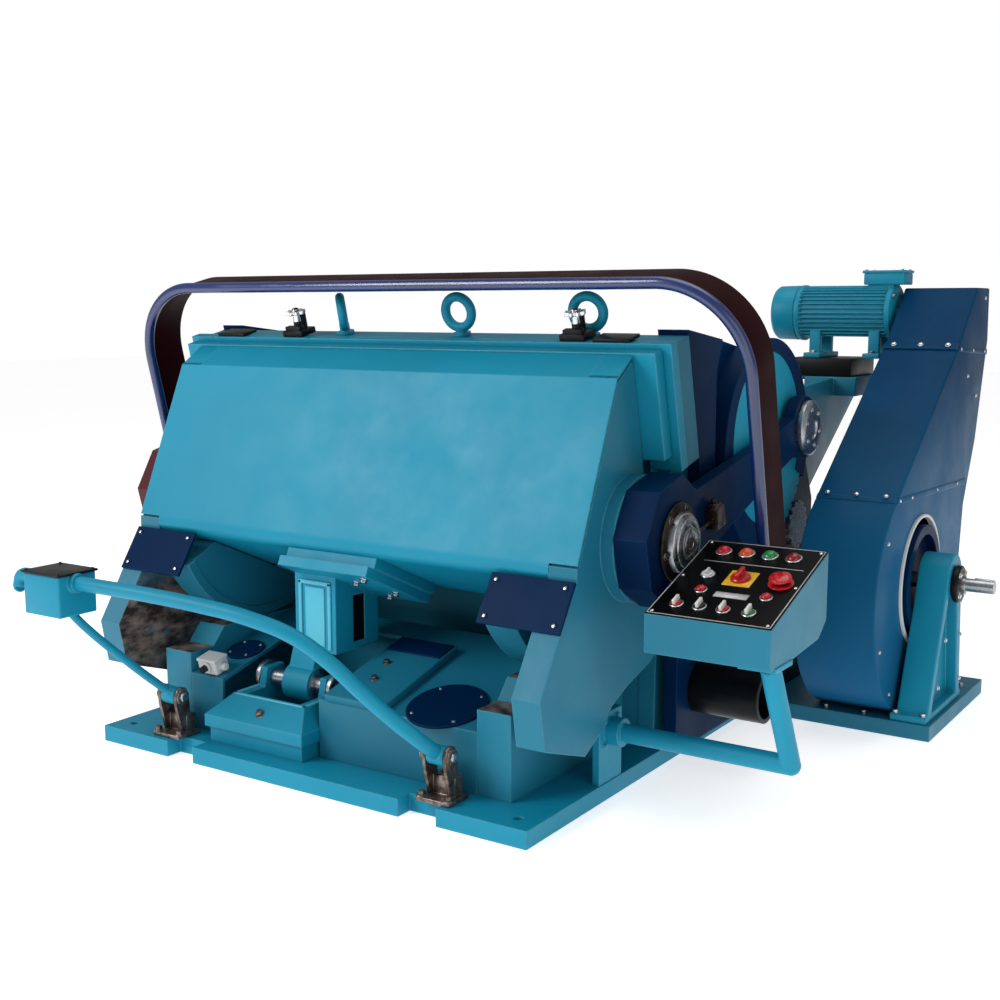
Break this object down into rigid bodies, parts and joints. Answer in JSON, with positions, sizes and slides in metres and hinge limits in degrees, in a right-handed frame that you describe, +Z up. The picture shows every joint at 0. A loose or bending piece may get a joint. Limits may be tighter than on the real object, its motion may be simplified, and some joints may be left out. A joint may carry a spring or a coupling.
{
  "type": "platen die-cutting and creasing press",
  "caption": "Heavy platen press for die cutting and creasing board: swinging platen on rockers, pull rods, geared crank, belt-driven flywheel, safety hoop and control box.",
  "frame": {"origin": "on the underside of the base plate, midway between the two anchor holes at the operator's end", "axes": "+Z up, +Y from the operator to the rear, +X across the press towards the flywheel"},
  "size_m": [2.941, 3.076, 1.652],
  "materials": {
    "turquoise_paint": "semi-gloss enamel",
    "teal_paint": "semi-gloss enamel",
    "navy_paint": "semi-gloss enamel",
    "maroon_paint": "satin enamel",
    "black_paint": "satin enamel",
    "white_paint": "satin enamel",
    "machined_steel": "turned",
    "cast_iron": "greased",
    "black_panel": "matt laminate",
    "red_plastic": "gloss",
    "black_plastic": "moulded",
    "lamp_lenses": "gloss"
  },
  "bodies": {
    "frame": {"base_plate": "turquoise_paint", "rails": "teal_paint", "deck_plate": "teal_paint", "deck_covers": "navy_paint", "platform_plate": "teal_paint", "pivot_housing": "turquoise_paint", "pivot_shaft": "machined_steel", "side_frames": "navy_paint", "tie_tube": "black_paint", "bed": "teal_paint", "die_chase": "turquoise_paint", "chase_clamps": "black_paint", "eye_bolts": "turquoise_paint", "gear_guards": "navy_paint", "motor": "turquoise_paint", "motor_slide_base": "black_paint", "belt_guard": "navy_paint", "sole_plate": "navy_paint", "bearing_bracket": "turquoise_paint", "outboard_bearing": "black_paint", "bail_brackets": "black_paint", "limit_switch": "white_paint", "control_arm": "turquoise_paint", "control_box": "teal_paint", "control_panel": "black_panel", "pilot_lamps": "lamp_lenses"},
    "platen_assembly": {"platen": "turquoise_paint", "platen_cover": "turquoise_paint", "left_cheek": "teal_paint", "right_cheek": "teal_paint", "rockers": "teal_paint", "rocker_treads": "cast_iron", "cheek_covers": "navy_paint", "platen_leg": "turquoise_paint", "platen_journals": "machined_steel"},
    "left_rod_assembly": {"left_pull_rod": "maroon_paint", "left_rod_fittings": "black_paint"},
    "right_rod_assembly": {"right_pull_rod": "navy_paint", "right_rod_fittings": "black_paint"},
    "crankshaft_assembly": {"crankshaft": "machined_steel", "bull_gears": "turquoise_paint"},
    "countershaft_assembly": {"countershaft": "machined_steel"},
    "clutch_pinion_body": {"clutch_pinion": "machined_steel"},
    "flywheel_assembly": {"flywheel": "navy_paint", "flywheel_shaft": "machined_steel"},
    "motor_rotor": {"motor_shaft": "machined_steel"},
    "hoop": {"safety_hoop": "maroon_paint"},
    "bail": {"front_bail": "turquoise_paint", "station_box": "turquoise_paint"},
    "left_knob": {"left_clamp_knob": "black_paint"},
    "right_knob": {"right_clamp_knob": "black_paint"},
    "selector_1_body": {"selector_1": "black_plastic"},
    "selector_2_body": {"selector_2": "black_plastic"},
    "selector_3_body": {"selector_3": "black_plastic"},
    "selector_4_body": {"selector_4": "black_plastic"},
    "main_switch_body": {"main_switch": "red_plastic"},
    "stop_button_body": {"stop_button": "red_plastic"},
    "push_button_1_body": {"push_button_1": "red_plastic"},
    "push_button_2_body": {"push_button_2": "red_plastic"},
    "plunger": {"switch_plunger": "black_plastic"}
  },
  "joints": [
    {"name": "platen_swing", "type": "hinge", "parent": "frame", "child": "platen_assembly", "pos_m": [0, 0.238, 0.24], "axis": [1, 0, 0], "range_deg": [0, 40]},
    {"name": "left_rod_pivot", "type": "hinge", "parent": "platen_assembly", "child": "left_rod_assembly", "pos_m": [-1, 0.478, 0.81], "axis": [1, 0, 0], "range_deg": [-46, 0]},
    {"name": "right_rod_pivot", "type": "hinge", "parent": "platen_assembly", "child": "right_rod_assembly", "pos_m": [1, 0.478, 0.81], "axis": [1, 0, 0], "range_deg": [-46, 0]},
    {"name": "crank_turn", "type": "hinge", "parent": "frame", "child": "crankshaft_assembly", "pos_m": [0, 1.311, 1.025], "axis": [1, 0, 0], "range_deg": [0, 174.8]},
    {"name": "countershaft_turn", "type": "hinge", "parent": "frame", "child": "countershaft_assembly", "pos_m": [0, 1.61194, 0.70676], "axis": [1, 0, 0], "range_deg": [-676, 0]},
    {"name": "clutch_pinion_turn", "type": "hinge", "parent": "frame", "child": "clutch_pinion_body", "pos_m": [0, 1.798, 0.51], "axis": [1, 0, 0], "range_deg": [0, 2148.6]},
    {"name": "flywheel_spin", "type": "hinge", "parent": "frame", "child": "flywheel_assembly", "pos_m": [1.4, 1.798, 0.51], "axis": [1, 0, 0], "continuous": true},
    {"name": "motor_spin", "type": "hinge", "parent": "frame", "child": "motor_rotor", "pos_m": [1.1, 2.428, 1.48], "axis": [1, 0, 0], "continuous": true},
    {"name": "hoop_swing", "type": "hinge", "parent": "frame", "child": "hoop", "pos_m": [0, 0.823, 0.45], "axis": [1, 0, 0], "range_deg": [-10, 0]},
    {"name": "bail_swing", "type": "hinge", "parent": "frame", "child": "bail", "pos_m": [0, -0.01, 0.195], "axis": [1, 0, 0], "range_deg": [-8, 0]},
    {"name": "left_knob_turn", "type": "hinge", "parent": "frame", "child": "left_knob", "pos_m": [-0.5, 0.55417, 1.46372], "axis": [0, -0.2351, 0.972], "range_deg": [0, 720]},
    {"name": "right_knob_turn", "type": "hinge", "parent": "frame", "child": "right_knob", "pos_m": [0.655, 0.55417, 1.46372], "axis": [0, -0.2351, 0.972], "range_deg": [0, 720]},
    {"name": "selector_1_turn", "type": "hinge", "parent": "frame", "child": "selector_1_body", "pos_m": [1.174, 0.23064, 0.68302], "axis": [0, -0.3256, 0.9455], "range_deg": [-45, 45]},
    {"name": "selector_2_turn", "type": "hinge", "parent": "frame", "child": "selector_2_body", "pos_m": [1.244, 0.23064, 0.68302], "axis": [0, -0.3256, 0.9455], "range_deg": [-45, 45]},
    {"name": "selector_3_turn", "type": "hinge", "parent": "frame", "child": "selector_3_body", "pos_m": [1.314, 0.23064, 0.68302], "axis": [0, -0.3256, 0.9455], "range_deg": [-45, 45]},
    {"name": "selector_4_turn", "type": "hinge", "parent": "frame", "child": "selector_4_body", "pos_m": [1.389, 0.23064, 0.68302], "axis": [0, -0.3256, 0.9455], "range_deg": [-45, 45]},
    {"name": "main_switch_turn", "type": "hinge", "parent": "frame", "child": "main_switch_body", "pos_m": [1.294, 0.39422, 0.73935], "axis": [0, -0.3256, 0.9455], "range_deg": [0, 90]},
    {"name": "stop_button_press", "type": "slide", "parent": "frame", "child": "stop_button_body", "axis": [0, 0.3256, -0.9455], "range_m": [0, 0.004], "stiffness_N_per_m": 900, "springref_m": -0.003},
    {"name": "push_button_1_press", "type": "slide", "parent": "frame", "child": "push_button_1_body", "axis": [0, 0.3256, -0.9455], "range_m": [0, 0.004], "stiffness_N_per_m": 900, "springref_m": -0.003},
    {"name": "push_button_2_press", "type": "slide", "parent": "frame", "child": "push_button_2_body", "axis": [0, 0.3256, -0.9455], "range_m": [0, 0.004], "stiffness_N_per_m": 900, "springref_m": -0.003},
    {"name": "plunger_press", "type": "slide", "parent": "frame", "child": "plunger", "axis": [0, 0.9681, 0.2504], "range_m": [0, 0.006], "stiffness_N_per_m": 900, "springref_m": -0.003}
  ],
  "couplings": [
    {"joint": "left_rod_pivot", "follows": "platen_swing", "ratio": -1.1421},
    {"joint": "right_rod_pivot", "follows": "platen_swing", "ratio": -1.1421},
    {"joint": "crank_turn", "follows": "platen_swing", "ratio": 4.3579},
    {"joint": "countershaft_turn", "follows": "platen_swing", "ratio": -16.851},
    {"joint": "clutch_pinion_turn", "follows": "platen_swing", "ratio": 53.615},
    {"joint": "motor_spin", "follows": "flywheel_spin", "ratio": 7.6364}
  ]
}
